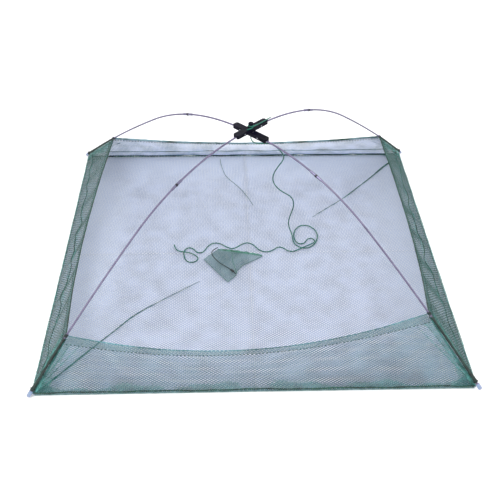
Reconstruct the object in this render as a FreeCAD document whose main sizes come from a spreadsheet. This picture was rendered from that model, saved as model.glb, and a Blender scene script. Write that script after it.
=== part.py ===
# Folding crab trap: four bowed ribs on a folding two-bar hub hold a square, open-topped net.
#
# Millimetres, +Z up. The origin is the centre of the square base, on the ground it lies on.
# -Y is the front. Right is +X. The lower hub bar carries the front-right and back-left ribs,
# the upper bar carries the front-left and back-right ribs.

import FreeCAD, Part
import math
import os
import Sketcher

Vector = FreeCAD.Vector
Placement = FreeCAD.Placement
Rotation = FreeCAD.Rotation

X_AXIS = Vector(1, 0, 0)
Y_AXIS = Vector(0, 1, 0)
Z_AXIS = Vector(0, 0, 1)

# ---------------------------------------------------------------- driving dimensions

# Grip grooves across each arm of the upper bar.
GROOVE_COUNT = 10

DIMENSIONS = {
    # square base
    "base_side": 800.0,
    "floor_depth": 1.0,
    "hem_band": 14.0,
    "hem_depth": 3.0,
    "seam_gap": 0.3,
    # hub bars
    "bar_half": 44.0,
    "bar_width": 14.0,
    "bar_depth": 7.6,
    "bar_chamfer": 3.0,
    "bar_drop": 3.0,
    "roof_depth": 1.6,
    "channel_width": 7.6,
    "channel_start": 9.0,
    "bridge_start": 41.0,
    "bridge_rise": 1.15,
    "groove_start": 14.0,
    "groove_pitch": 2.6,
    "groove_width": 0.9,
    "groove_depth": 0.6,
    "groove_half": 5.2,
    "lower_pin_height": 299.6,
    "upper_pin_height": 308.1,
    # pivot
    "bolt_radius": 2.5,
    "bolt_play": 0.05,
    "bolt_head_radius": 5.0,
    "bolt_head_depth": 3.4,
    "bolt_end_height": 319.0,
    "washer_radius": 7.0,
    "washer_depth": 0.8,
    "neck_radius": 3.5,
    "neck_depth": 5.5,
    "knob_radius": 5.3,
    "knob_depth": 9.6,
    "knob_gap": 0.2,
    # ribs
    "pin_radius": 1.5,
    "pin_length": 13.6,
    "pin_play": 0.05,
    "pin_place": 23.0,
    "eye_radius": 2.9,
    "eye_width": 7.2,
    "socket_radius": 2.5,
    "socket_start": 2.0,
    "socket_end": 13.0,
    "rod_radius": 1.8,
    "rod_play": 0.05,
    "rod_seat": 4.6,
    "straight_run": 18.0,
    "first_slope": 3.0,
    "inner_bow": 500.0,
    "outer_bow": 2900.0,
    "tip_place": 572.0,
    "tip_height": 3.4,
    "ferrule_radius": 2.5,
    "ferrule_length": 27.0,
    "ferrule_front_left": 198.0,
    "ferrule_front_right": 167.0,
    "ferrule_back_left": 180.0,
    "ferrule_back_right": 176.0,
    "cap_radius": 3.75,
    "cap_length": 12.0,
    "cap_round": 1.8,
    "cap_end": 2.5,
    "tie_bore": 2.0,
    "tie_radius": 4.0,
    "tie_length": 4.0,
    "sleeve_bore": 2.1,
    "sleeve_radius": 3.0,
    "sleeve_gap": 3.0,
    "sleeve_start": 22.0,
    "loop_place": 16.5,
    "loop_radius": 4.0,
    "loop_cord": 0.8,
    # net walls
    "wall_depth": 1.0,
    "wall_foot": 3.6,
    "rim_band": 15.0,
    "rim_depth": 2.2,
    "corner_gap": 8.0,
    "rim_bulge": 23.0,
    "rim_height_front_left": 86.0,
    "rim_height_front_right": 107.0,
    "rim_height_back_left": 103.0,
    "rim_height_back_right": 97.0,
    "rim_sag_front": 41.0,
    "rim_sag_back": 30.0,
    "rim_sag_left": 33.0,
    "rim_sag_right": 37.0,
    # bait pocket
    "pocket_foot": 1.3,
    "pocket_depth": 7.5,
    "lock_radius": 3.5,
    "lock_half": 3.8,
    "drawcord_radius": 1.0,
    "drawcord_height": 12.4,
    # ropes
    "rope_radius": 1.2,
}

doc = FreeCAD.newDocument("FoldingCrabTrap")
sheet = doc.addObject("Spreadsheet::Sheet", "Dims")
for row, (alias, number) in enumerate(DIMENSIONS.items(), start=1):
    sheet.set(f"A{row}", alias)
    sheet.set(f"B{row}", str(number))
    sheet.setAlias(f"B{row}", alias)
doc.recompute()


class Size:
    """A size with its value and the sheet expression that gives that value."""

    def __init__(self, value, text):
        self.value = value
        self.text = text

    def __add__(self, other):
        other = as_size(other)
        return Size(self.value + other.value, f"({self.text} + {other.text})")

    def __sub__(self, other):
        other = as_size(other)
        return Size(self.value - other.value, f"({self.text} - {other.text})")

    def __mul__(self, factor):
        return Size(self.value * factor, f"({self.text} * {factor})")

    def __neg__(self):
        return Size(-self.value, f"(0 - {self.text})")


def as_size(number):
    """A plain number as a Size, and a Size as it is."""
    if isinstance(number, Size):
        return number
    return Size(float(number), f"{float(number)}")


def dim(alias):
    """The Size that a cell of the sheet holds."""
    return Size(float(getattr(sheet, alias)), f"Dims.{alias}")


def mm(alias):
    """The plain value of a cell."""
    return dim(alias).value


def bind(thing, **sizes):
    """Set properties of an object from the sheet."""
    for name, size in sizes.items():
        thing.setExpression(name, as_size(size).text)


# ---------------------------------------------------------------- sketches and features

def new_body(label):
    body = doc.addObject("PartDesign::Body", label)
    body.Label = label
    return body


def new_sketch(body, role, name, height=None):
    """A sketch on one of the body's own origin planes, at a height above it."""
    sketch = body.newObject("Sketcher::SketchObject", name)
    plane = [feature for feature in body.Origin.OriginFeatures if feature.Role == role][0]
    sketch.AttachmentSupport = (plane, [""])
    sketch.MapMode = "FlatFace"
    if height is not None:
        sketch.setExpression("AttachmentOffset.Base.z", height.text)
    return sketch


def hold_corner(sketch, edge, corner):
    """Fix the start of an edge at sheet sizes from the sketch's axes."""
    across = {"X": -2, "Y": -1}
    for axis, size in zip("XY", corner):
        size = as_size(size)
        if size.value == 0:
            sketch.addConstraint(Sketcher.Constraint("PointOnObject", edge, 1, across[axis]))
            continue
        ends = (-1, 1, edge, 1) if size.value > 0 else (edge, 1, -1, 1)
        size = size if size.value > 0 else -size
        constraint = Sketcher.Constraint(f"Distance{axis}", *ends, size.value)
        index = sketch.addConstraint(constraint)
        sketch.setExpression(f"Constraints[{index}]", size.text)


def polygon(sketch, corners):
    """A closed outline through corners given as pairs of sizes."""
    first = sketch.GeometryCount
    spots = [Vector(as_size(x).value, as_size(y).value, 0) for x, y in corners]
    count = len(spots)
    for index, spot in enumerate(spots):
        sketch.addGeometry(Part.LineSegment(spot, spots[(index + 1) % count]), False)
    for index in range(count):
        following = first + (index + 1) % count
        sketch.addConstraint(Sketcher.Constraint("Coincident", first + index, 2, following, 1))
    for index, corner in enumerate(corners):
        hold_corner(sketch, first + index, corner)


def rectangle(sketch, left, right, front, back):
    polygon(sketch, [(left, front), (right, front), (right, back), (left, back)])


def circle(sketch, across, radius):
    """A circle with its centre on the sketch's first axis."""
    across = as_size(across)
    edge = sketch.addGeometry(Part.Circle(Vector(across.value, 0, 0), Z_AXIS, radius.value), False)
    sketch.addConstraint(Sketcher.Constraint("PointOnObject", edge, 3, -1))
    if across.value == 0:
        sketch.addConstraint(Sketcher.Constraint("PointOnObject", edge, 3, -2))
    else:
        ends = (-1, 1, edge, 3) if across.value > 0 else (edge, 3, -1, 1)
        place = across if across.value > 0 else -across
        index = sketch.addConstraint(Sketcher.Constraint("DistanceX", *ends, place.value))
        sketch.setExpression(f"Constraints[{index}]", place.text)
    index = sketch.addConstraint(Sketcher.Constraint("Radius", edge, radius.value))
    sketch.setExpression(f"Constraints[{index}]", radius.text)


def pad(body, sketch, length):
    feature = body.newObject("PartDesign::Pad", f"{sketch.Name}_pad")
    feature.Profile = sketch
    bind(feature, Length=length)
    sketch.Visibility = False
    return feature


def pocket(body, sketch, length, upward=False, symmetric=False):
    """Cut a sketch's outlines out of the body, and make sure that something was cut."""
    doc.recompute()
    before = body.Shape.Volume
    feature = body.newObject("PartDesign::Pocket", f"{sketch.Name}_pocket")
    feature.Profile = sketch
    feature.Reversed = upward
    if symmetric:
        feature.SideType = "Symmetric"
    bind(feature, Length=length)
    sketch.Visibility = False
    doc.recompute()
    if body.Shape.Volume > before - 0.1:
        raise RuntimeError(f"{sketch.Name} cuts nothing")
    return feature


def revolve(body, sketch, role):
    feature = body.newObject("PartDesign::Revolution", f"{sketch.Name}_turned")
    feature.Profile = sketch
    axis = [line for line in body.Origin.OriginFeatures if line.Role == role][0]
    feature.ReferenceAxis = (axis, [""])
    feature.Angle = 360
    sketch.Visibility = False
    return feature


# ---------------------------------------------------------------- primitives

def cylinder(name, radius, length, place=None):
    """A cylinder along its own +Z."""
    solid = doc.addObject("Part::Cylinder", name)
    bind(solid, Radius=radius, Height=length)
    solid.Placement = place or Placement()
    return solid


def along_x(start):
    """Turns a cylinder's own axis to +X, with its foot at a place on X."""
    return Placement(Vector(start, 0, 0), Rotation(Y_AXIS, 90))


def across_y(length):
    """Turns a cylinder's own axis to Y, centred on the origin."""
    return Placement(Vector(0, length / 2, 0), Rotation(X_AXIS, 90))


def union(name, first, second):
    joined = doc.addObject("Part::Fuse", name)
    joined.Base = first
    joined.Tool = second
    return joined


def difference(name, first, second):
    cut = doc.addObject("Part::Cut", name)
    cut.Base = first
    cut.Tool = second
    return cut


def plain_feature(label, shape):
    feature = doc.addObject("Part::Feature", label)
    feature.Label = label
    feature.Shape = shape
    return feature


# ---------------------------------------------------------------- the bow of a rib

class Bow:
    """A rib's centre line in its own frame: X outward from its hub pin, Z up.

    A short straight run leaves the hub just below level. Two arcs follow, a tighter one and
    then a gentle one, that end at the tip. Slopes are degrees below level.
    """

    def __init__(self, pin_height):
        self.straight = mm("straight_run")
        self.first = math.radians(mm("first_slope"))
        self.inner = mm("inner_bow")
        self.outer = mm("outer_bow")
        start_x = self.straight * math.cos(self.first)
        start_z = -self.straight * math.sin(self.first)
        self.inner_x = start_x - self.inner * math.sin(self.first)
        self.inner_z = start_z - self.inner * math.cos(self.first)
        reach_x = mm("tip_place") - mm("pin_place") - self.inner_x
        reach_z = mm("tip_height") - pin_height - self.inner_z
        step = self.outer - self.inner
        swing = math.acos(
            (step ** 2 + self.outer ** 2 - reach_x ** 2 - reach_z ** 2)
            / (2 * self.outer * step)
        )
        lead = math.atan2(self.outer * math.sin(swing), self.outer * math.cos(swing) - step)
        self.middle = math.atan2(reach_x, reach_z) - lead
        self.last = self.middle + swing
        self.outer_x = self.inner_x - step * math.sin(self.middle)
        self.outer_z = self.inner_z - step * math.cos(self.middle)
        self.meeting = self.straight + self.inner * (self.middle - self.first)
        self.length = self.meeting + self.outer * swing

    def slope(self, run):
        """The slope, in radians, at a length along the rib."""
        if run < self.straight:
            return self.first
        if run < self.meeting:
            return self.first + (run - self.straight) / self.inner
        return self.middle + (run - self.meeting) / self.outer

    def spot(self, run):
        """The point at a length along the rib."""
        slope = self.slope(run)
        if run < self.straight:
            return Vector(run * math.cos(slope), 0, -run * math.sin(slope))
        if run < self.meeting:
            return Vector(self.inner_x + self.inner * math.sin(slope), 0,
                          self.inner_z + self.inner * math.cos(slope))
        return Vector(self.outer_x + self.outer * math.sin(slope), 0,
                      self.outer_z + self.outer * math.cos(slope))

    def place(self, run):
        """A frame on the rib at a length along it, with +X outward along the rib."""
        return Placement(self.spot(run), Rotation(Y_AXIS, math.degrees(self.slope(run))))

    def run_at_reach(self, reach):
        """The length along the rib, on its inner arc, at a distance out from the pin."""
        slope = math.asin((reach - self.inner_x) / self.inner)
        return self.straight + self.inner * (slope - self.first)

    def run_at_height(self, height):
        """The length along the rib, on its outer arc, at a height from the pin."""
        slope = math.acos((height - self.outer_z) / self.outer)
        return self.meeting + self.outer * (slope - self.middle)

    def arc(self, name, radius, start_run, end_run):
        """A round bar of a radius that follows one arc of the rib between two lengths."""
        on_inner = (start_run + end_run) / 2 < self.meeting
        bar = doc.addObject("Part::Torus", name)
        bind(bar, Radius1=dim("inner_bow" if on_inner else "outer_bow"), Radius2=radius)
        start = math.degrees(self.slope(start_run + 1e-9))
        end = math.degrees(self.slope(end_run - 1e-9))
        bar.Angle3 = end - start
        centre = Vector(self.inner_x, 0, self.inner_z)
        if not on_inner:
            centre = Vector(self.outer_x, 0, self.outer_z)
        upright = Rotation(X_AXIS, 90).multiply(Rotation(Z_AXIS, 90 - end))
        bar.Placement = Placement(centre, upright)
        return bar


# ---------------------------------------------------------------- hub

def channel(sketch, side, start, end):
    """One arm's channel outline between two distances from the pivot."""
    half = dim("channel_width") * 0.5
    if side > 0:
        rectangle(sketch, start, end, -half, half)
    else:
        rectangle(sketch, -end, -start, -half, half)


def hub_bar(label, pin_height, azimuth, grip):
    """A bar with a channel under each arm for a rib's knuckle. Its own Z is 0 at its foot."""
    body = new_body(label)
    half = dim("bar_half")
    side = dim("bar_width") * 0.5
    corner = dim("bar_chamfer")
    outline = new_sketch(body, "XY_Plane", f"{label}_outline")
    polygon(outline, [
        (-half, corner - side), (corner - half, -side), (half - corner, -side),
        (half, corner - side), (half, side - corner), (half - corner, side),
        (corner - half, side), (-half, side - corner),
    ])
    pad(body, outline, dim("bar_depth"))
    channels = new_sketch(body, "XY_Plane", f"{label}_channels")
    mouths = new_sketch(body, "XY_Plane", f"{label}_mouths")
    for arm in (1, -1):
        channel(channels, arm, dim("channel_start"), dim("bridge_start"))
        channel(mouths, arm, dim("bridge_start"), half + 1)
    pocket(body, channels, dim("bar_depth") - dim("roof_depth"), upward=True)
    pocket(body, mouths, dim("bar_drop") + dim("bridge_rise"), upward=True)
    bore = new_sketch(body, "XY_Plane", f"{label}_bore")
    circle(bore, 0, dim("bolt_radius") + dim("bolt_play"))
    pocket(body, bore, dim("bar_depth"), upward=True)
    pins = new_sketch(body, "XZ_Plane", f"{label}_pin_holes")
    for arm in (1, -1):
        place = dim("pin_place") * arm
        edge = pins.addGeometry(Part.Circle(Vector(place.value, mm("bar_drop"), 0), Z_AXIS,
                                            mm("pin_radius") + 0.01), False)
        ends = (-1, 1, edge, 3) if arm > 0 else (edge, 3, -1, 1)
        for constraint, size in (
            (Sketcher.Constraint("DistanceX", *ends, mm("pin_place")), dim("pin_place")),
            (Sketcher.Constraint("DistanceY", -1, 1, edge, 3, mm("bar_drop")), dim("bar_drop")),
            (Sketcher.Constraint("Radius", edge, mm("pin_radius")), dim("pin_radius") + 0.01),
        ):
            index = pins.addConstraint(constraint)
            pins.setExpression(f"Constraints[{index}]", size.text)
    pocket(body, pins, dim("bar_width") + 2, symmetric=True)
    if grip:
        grooves = new_sketch(body, "XY_Plane", f"{label}_grooves", dim("bar_depth"))
        for number in range(GROOVE_COUNT):
            start = dim("groove_start") + dim("groove_pitch") * number
            rectangle(grooves, start, start + dim("groove_width"),
                      -dim("groove_half"), dim("groove_half"))
        pocket(body, grooves, dim("groove_depth"))
    body.Placement = Placement(Vector(0, 0, pin_height - mm("bar_drop")),
                               Rotation(Z_AXIS, azimuth))


def turned_piece(label, profile, height):
    """A piece turned about its own Z from an outline of radii and heights."""
    body = new_body(label)
    outline = new_sketch(body, "XZ_Plane", f"{label}_profile")
    polygon(outline, profile)
    revolve(body, outline, "Z_Axis")
    body.Placement = Placement(Vector(0, 0, height), Rotation())


def make_hub():
    lower = mm("lower_pin_height")
    upper = mm("upper_pin_height")
    hub_bar("hub_lower_bar", lower, 315, True)
    hub_bar("hub_upper_bar", upper, 45, False)
    lower_foot = lower - mm("bar_drop")
    lower_top = lower_foot + mm("bar_depth")
    upper_foot = upper - mm("bar_drop")
    upper_top = upper_foot + mm("bar_depth")
    shank = dim("bolt_radius")
    bore = shank + dim("bolt_play")
    washer = dim("washer_radius")
    turned_piece("hub_washer", [
        (bore, 0), (washer, 0), (washer, dim("washer_depth")), (bore, dim("washer_depth")),
    ], (lower_top + upper_foot - mm("washer_depth")) / 2)
    head = dim("bolt_head_radius")
    depth = dim("bolt_head_depth")
    shank_top = as_size(mm("bolt_end_height") - lower_foot)
    turned_piece("pivot_bolt", [
        (0, -depth), (head * 0.6, -depth), (head, -depth * 0.45), (head, -0.05),
        (shank, -0.05), (shank, shank_top - 0.5), (shank - 0.5, shank_top), (0, shank_top),
    ], lower_foot)
    neck = dim("neck_radius")
    rim = dim("knob_radius")
    neck_top = dim("neck_depth")
    knob_top = dim("knob_depth")
    bore_top = as_size(mm("bolt_end_height") - upper_top - mm("knob_gap") + 0.2)
    turned_piece("hub_knob", [
        (bore, 0), (neck, 0), (neck, neck_top), (rim - 0.5, neck_top), (rim, neck_top + 0.5),
        (rim, knob_top - 1.4), (rim - 0.6, knob_top - 0.5), (rim - 1.8, knob_top),
        (0, knob_top), (0, bore_top), (bore, bore_top),
    ], upper_top + mm("knob_gap"))


# ---------------------------------------------------------------- ribs

RIBS = {
    "front_left": (225, "upper_pin_height"),
    "front_right": (315, "lower_pin_height"),
    "back_left": (135, "lower_pin_height"),
    "back_right": (45, "upper_pin_height"),
}


def rib_frame(side):
    """The frame of a rib: its hub pin, with X outward."""
    azimuth, height = RIBS[side]
    outward = Rotation(Z_AXIS, azimuth)
    pin = outward.multVec(Vector(mm("pin_place"), 0, 0))
    return Placement(Vector(pin.x, pin.y, mm(height)), outward)


def rim_run(side, bow):
    """Where the rim crosses a rib, as a length along the rib."""
    pin_height = mm(RIBS[side][1])
    return bow.run_at_height(mm(f"rim_height_{side}") - pin_height)


def tube(name, bow, radius, bore, start_run, end_run):
    """A bent tube on one arc of the rib."""
    skin = bow.arc(f"{name}_skin", radius, start_run, end_run)
    hollow = bow.arc(f"{name}_hollow", bore, start_run - 1, end_run + 1)
    return difference(name, skin, hollow)


def make_rib(side):
    bow = Bow(mm(RIBS[side][1]))
    frame = rib_frame(side)
    rod = dim("rod_radius")
    rod_bore = rod + dim("rod_play")
    finished = {}

    pin = cylinder(f"rib_pin_{side}", dim("pin_radius"), dim("pin_length"))
    finished[pin] = across_y(mm("pin_length"))

    eye = cylinder(f"eye_{side}", dim("eye_radius"), dim("eye_width"), across_y(mm("eye_width")))
    socket_length = dim("socket_end") - dim("socket_start")
    socket = cylinder(f"socket_{side}", dim("socket_radius"), socket_length,
                      along_x(mm("socket_start")))
    eye_hole = cylinder(f"eye_hole_{side}", dim("pin_radius") + dim("pin_play"),
                        dim("eye_width") + 2, across_y(mm("eye_width") + 2))
    rod_hole = cylinder(f"rod_hole_{side}", rod_bore, dim("socket_end"),
                        along_x(mm("rod_seat") - 0.1))
    knuckle = union(f"knuckle_{side}", eye, socket)
    holes = union(f"knuckle_holes_{side}", eye_hole, rod_hole)
    finished[difference(f"rib_root_{side}", knuckle, holes)] = bow.place(0)

    joint = bow.run_at_reach(mm(f"ferrule_{side}") - mm("pin_place"))
    half_ferrule = mm("ferrule_length") / 2
    straight = cylinder(f"rod_start_{side}", rod, dim("straight_run") - dim("rod_seat"))
    straight.Placement = bow.place(0).multiply(along_x(mm("rod_seat")))
    inner_arc = bow.arc(f"rod_bend_{side}", rod, bow.straight, joint - 0.1)
    finished[union(f"rib_inner_{side}", straight, inner_arc)] = Placement()
    finished[tube(f"rib_ferrule_{side}", bow, dim("ferrule_radius"), rod_bore,
                  joint - half_ferrule, joint + half_ferrule)] = Placement()
    middle_arc = bow.arc(f"rod_middle_{side}", rod, joint + 0.1, bow.meeting)
    rod_end = bow.length - mm("cap_end") - 0.2
    outer_arc = bow.arc(f"rod_tail_{side}", rod, bow.meeting, rod_end)
    finished[union(f"rib_outer_{side}", middle_arc, outer_arc)] = Placement()

    cap = new_body(f"rib_cap_{side}")
    profile = new_sketch(cap, "XZ_Plane", f"rib_cap_{side}_profile")
    edge = dim("cap_radius")
    length = dim("cap_length")
    polygon(profile, [
        (-length, rod_bore), (-length, edge - 0.5), (0.5 - length.value, edge),
        (-dim("cap_round"), edge), (-dim("cap_round") * 0.4, edge - 0.9),
        (0, edge - dim("cap_round")), (0, 0), (-dim("cap_end"), 0), (-dim("cap_end"), rod_bore),
    ])
    revolve(cap, profile, "X_Axis")
    finished[cap] = bow.place(bow.length)

    rim = rim_run(side, bow)
    half_tie = mm("tie_length") / 2
    finished[tube(f"rim_tie_{side}", bow, dim("tie_radius"), dim("tie_bore"),
                  rim - half_tie, rim + half_tie)] = Placement()
    sleeve_top = rim + half_tie + mm("sleeve_gap")
    sleeve_end = bow.length - mm("sleeve_start")
    finished[tube(f"corner_sleeve_{side}", bow, dim("sleeve_radius"), dim("sleeve_bore"),
                  sleeve_top, sleeve_end)] = Placement()

    loop = doc.addObject("Part::Torus", f"corner_loop_{side}")
    bind(loop, Radius1=dim("loop_radius"), Radius2=dim("loop_cord"))
    round_the_rib = Placement(Vector(), Rotation(Y_AXIS, 90))
    finished[loop] = bow.place(bow.length - mm("loop_place")).multiply(round_the_rib)

    for piece, place in finished.items():
        piece.Label = piece.Name
        piece.Placement = frame.multiply(place)
    print(f"rib {side}: length {bow.length:.1f}, last slope {math.degrees(bow.last):.1f},",
          f"rim at {rim:.1f} of it")


# ---------------------------------------------------------------- net

def make_floor():
    side = dim("base_side") - (dim("hem_band") + dim("seam_gap")) * 2
    floor = doc.addObject("Part::Box", "net_floor")
    floor.Label = "net_floor"
    bind(floor, Length=side, Width=side, Height=dim("floor_depth"))
    floor.Placement = Placement(Vector(-side.value / 2, -side.value / 2, 0), Rotation())


def make_base_hems():
    """Four bands round the base, mitred at the corners."""
    outer = dim("base_side") * 0.5
    inner = outer - dim("hem_band")
    gap = dim("seam_gap")
    for turns, side in enumerate(("front", "right", "back", "left")):
        body = new_body(f"base_hem_{side}")
        band = new_sketch(body, "XY_Plane", f"base_hem_{side}_band")
        polygon(band, [
            (gap - outer, -outer), (outer - gap, -outer),
            (inner - gap, -inner), (gap - inner, -inner),
        ])
        pad(body, band, dim("hem_depth"))
        body.Placement = Placement(Vector(), Rotation(Z_AXIS, 90 * turns))


def rim_corner(side):
    """The point where the rim crosses a rib."""
    bow = Bow(mm(RIBS[side][1]))
    return rib_frame(side).multVec(bow.spot(rim_run(side, bow)))


def base_corner(side):
    """The corner of the base under a rib, at the foot of the walls."""
    reach = (mm("base_side") / 2 - mm("wall_depth") - 0.5) * math.sqrt(2)
    azimuth = math.radians(RIBS[side][0])
    return Vector(reach * math.cos(azimuth), reach * math.sin(azimuth), mm("wall_foot"))


def wall_line(start_side, end_side, outward, sag, share):
    """The foot and the rim of a wall at a share of the way between two ribs."""
    foot_start, foot_end = base_corner(start_side), base_corner(end_side)
    rim_start, rim_end = rim_corner(start_side), rim_corner(end_side)
    belly = 4 * share * (1 - share)
    foot = foot_start + (foot_end - foot_start) * share
    rim = rim_start + (rim_end - rim_start) * share
    rim += outward * (mm("rim_bulge") * belly) - Z_AXIS * (sag * belly)
    return foot, rim


def strip(lines, depth, low, high):
    """A ruled solid of a depth between two edges, each a function of a wall line."""
    sections = []
    for along, (foot, rim) in lines:
        up = (rim - foot).normalize()
        normal = along.cross(up).normalize() * (depth / 2)
        bottom, top = low(foot, rim, up), high(foot, rim, up)
        corners = [bottom - normal, top - normal, top + normal, bottom + normal]
        sections.append(Part.makePolygon(corners + corners[:1]))
    return Part.makeLoft(sections, True, True)


def make_walls():
    """A net wall and its rim hem on each side of the square."""
    walls = {
        "front": ("front_left", "front_right", -Y_AXIS),
        "right": ("front_right", "back_right", X_AXIS),
        "back": ("back_right", "back_left", Y_AXIS),
        "left": ("back_left", "front_left", -X_AXIS),
    }
    stations = 9
    band = mm("rim_band")
    for side, (start, end, outward) in walls.items():
        along = (base_corner(end) - base_corner(start)).normalize()
        margin = mm("corner_gap") / (rim_corner(end) - rim_corner(start)).Length
        lines = []
        for number in range(stations):
            share = margin + (1 - 2 * margin) * number / (stations - 1)
            sag = mm(f"rim_sag_{side}")
            lines.append((along, wall_line(start, end, outward, sag, share)))
        net = strip(lines, mm("wall_depth"), lambda foot, rim, up: foot,
                    lambda foot, rim, up: rim - up * (band + mm("seam_gap")))
        hem = strip(lines, mm("rim_depth"), lambda foot, rim, up: rim - up * band,
                    lambda foot, rim, up: rim)
        plain_feature(f"wall_{side}", net)
        plain_feature(f"rim_hem_{side}", hem)


# ---------------------------------------------------------------- bait pocket

POCKET_OUTLINE = [
    (-99, -25), (-48, -100), (-31, -80), (-28, -65), (-17, -48), (28, -16), (-69, 8),
]

DRAWCORD = [
    (-69, 4), (-78, -3), (-83, -14), (-78, -29), (-65, -49), (-48, -64), (-38, -75), (-31, -85),
]

LOCK_PLACE = (-38, -75)
LOCK_AZIMUTH = -49


def make_pocket():
    body = new_body("bait_pocket")
    outline = new_sketch(body, "XY_Plane", "bait_pocket_outline")
    polygon(outline, POCKET_OUTLINE)
    pad(body, outline, dim("pocket_depth"))
    body.Placement = Placement(Vector(0, 0, mm("pocket_foot")), Rotation())

    height = mm("drawcord_height")
    cord_piece("pocket_drawcord", [Vector(x, y, height) for x, y in DRAWCORD],
               mm("drawcord_radius"))

    barrel = cylinder("lock_barrel", dim("lock_radius"), dim("lock_half") * 2,
                      along_x(-mm("lock_half")))
    hole = cylinder("lock_hole", dim("drawcord_radius") + 0.35, dim("lock_half") * 2 + 2,
                    along_x(-mm("lock_half") - 1))
    lock = difference("cord_lock", barrel, hole)
    lock.Label = "cord_lock"
    lock.Placement = Placement(Vector(*LOCK_PLACE, height), Rotation(Z_AXIS, LOCK_AZIMUTH))


# ---------------------------------------------------------------- ropes

# Each arc takes this share of the shorter of the two runs that it joins.
ARC_SHARE = 0.45

# The pull rope hangs from the foot of the pivot bolt and lies loose on the floor net.
ROPE_ROUTE = [
    (0, 0, 292.9), (0, 0, 285.6), (4.5, -2.6, 280.4), (12.5, -6, 279), (21.5, -8, 280),
    (31, -10.5, 282.2), (41, -13.5, 281.8), (51, -17, 276.2), (60, -18, 266.5), (66, -14, 254),
    (64, -8, 240), (57, -2, 225), (50, 4, 208), (46, 11, 189), (49, 17, 170), (59, 22, 153),
    (73, 25, 140), (86, 30, 129), (94, 36, 113), (96, 43, 94), (93, 49, 73), (89, 56, 53),
    (88, 62, 34), (91, 65, 18), (96, 61, 7), (98, 50, 2.5), (98, 36, 2.5), (103, 22, 2.5),
    (114, 12, 2.5), (129, 11, 2.5), (142, 20, 2.5), (151, 37, 2.5), (155, 56, 2.5),
    (152, 75, 2.5), (142, 90, 2.5), (128, 96, 2.5), (115, 91, 2.5), (106, 79, 2.5),
    (102, 66, 2.5), (101, 53, 2.5), (102, 41, 2.5), (106, 31, 2.5), (114, 25.5, 2.5),
    (123, 28.5, 2.5), (127, 37, 2.5), (132, 45, 2.5), (141, 46, 2.5), (147, 38.5, 2.5),
    (145, 28, 5.5), (136, 18, 8), (121, 9, 8), (107, 3.5, 4.5), (95, -1, 2.5), (84, 2, 2.5),
    (77, 10, 2.5), (70, 16, 2.5), (61, 15, 2.5), (54, 7, 2.5), (44, 0, 2.5), (32, -1, 2.5),
    (21, 6, 2.5), (14, 18, 2.5), (6, 29, 2.5), (-6, 33, 2.5), (-17, 27, 2.5), (-27, 16, 2.5),
    (-38, 11, 2.5), (-50, 18, 2.5), (-61, 29, 2.5), (-74, 34, 2.5), (-86, 28, 2.5),
    (-93, 17, 2.5), (-97, 6, 2.5), (-104, -1.5, 2.5), (-113.5, -0.5, 2.5), (-119, 7, 2.5),
    (-124, 15, 2.5), (-133, 17.5, 2.5), (-140, 11, 2.5), (-143, 1, 2.5), (-142, -10, 2.5),
    (-140, -21, 2.5), (-135, -30.5, 2.5), (-126, -34.5, 2.5), (-116, -31, 2.5),
    (-111, -22, 2.5), (-114, -13, 2.5), (-123, -8, 5), (-133, -6, 8), (-149, -3, 8),
    (-157, 5, 4.5), (-162, 16, 2.5), (-165, 28, 2.5),
]

# The hitch goes once round the knob's neck and along the back-right arm. Its points are in
# the upper bar's own frame: X along that arm, Z up from the bar's top.
HITCH_ROUTE = [
    (-15, -3.4, 1.4), (-8.5, -5.5, 1.4), (-2.5, -6.3, 1.4), (4.1, -4.1, 1.4), (5.8, 0, 1.5),
    (3.8, 4.5, 1.9), (-1.5, 5.6, 2.6), (-5.5, 2, 3.3), (-4.8, -3.3, 4), (-0.5, -6.2, 4.1),
    (6.5, -6.2, 3.5), (14, -5.2, 2.2), (22, -4.4, 1.4), (31, -4.6, 1.4), (41, -3.9, 1.4),
    (48.5, -3, 1.1), (55, -1.6, -0.3),
]


def cord_path(name, points):
    """Straight runs joined by tangent arcs, each as large as its two runs allow."""
    edges = []
    radii = []
    start = points[0]
    for before, corner, after in zip(points, points[1:], points[2:]):
        inward = (corner - before).normalize()
        onward = (after - corner).normalize()
        reach = ARC_SHARE * min((corner - before).Length, (after - corner).Length)
        half_turn = inward.getAngle(onward) / 2
        radius = reach / math.tan(half_turn)
        radii.append(radius)
        arc_start = corner - inward * reach
        arc_end = corner + onward * reach
        rise = radius / math.cos(half_turn) - radius
        crown = corner + (onward - inward).normalize() * rise
        edges.append(Part.LineSegment(start, arc_start).toShape())
        edges.append(Part.Arc(arc_start, crown, arc_end).toShape())
        start = arc_end
    edges.append(Part.LineSegment(start, points[-1]).toShape())
    path = Part.Wire(edges)
    print(f"{name}: length {path.Length:.0f}, tightest radii",
          [round(radius, 1) for radius in sorted(radii)[:4]])
    return path


def cord_piece(label, points, radius):
    """A round cord along a route, its volume compared with its section times its length."""
    path = cord_path(label, points)
    section = Part.Wire(Part.Circle(points[0], points[1] - points[0], radius).toShape())
    solid = path.makePipeShell([section], True, False)
    expected = math.pi * radius ** 2 * path.Length
    if abs(solid.Volume / expected - 1) > 0.01:
        raise RuntimeError(f"{label} has volume {solid.Volume:.0f}, not {expected:.0f}")
    return plain_feature(label, solid)


def make_ropes():
    cord_piece("pull_rope", [Vector(*point) for point in ROPE_ROUTE], mm("rope_radius"))
    hitch = cord_piece("rope_hitch", [Vector(*point) for point in HITCH_ROUTE],
                       mm("rope_radius"))
    bar_top = mm("upper_pin_height") - mm("bar_drop") + mm("bar_depth")
    hitch.Placement = Placement(Vector(0, 0, bar_top), Rotation(Z_AXIS, 45))


# ---------------------------------------------------------------- build and write

make_hub()
for rib_side in RIBS:
    make_rib(rib_side)
make_floor()
make_base_hems()
make_walls()
make_pocket()
make_ropes()
doc.recompute()

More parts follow.
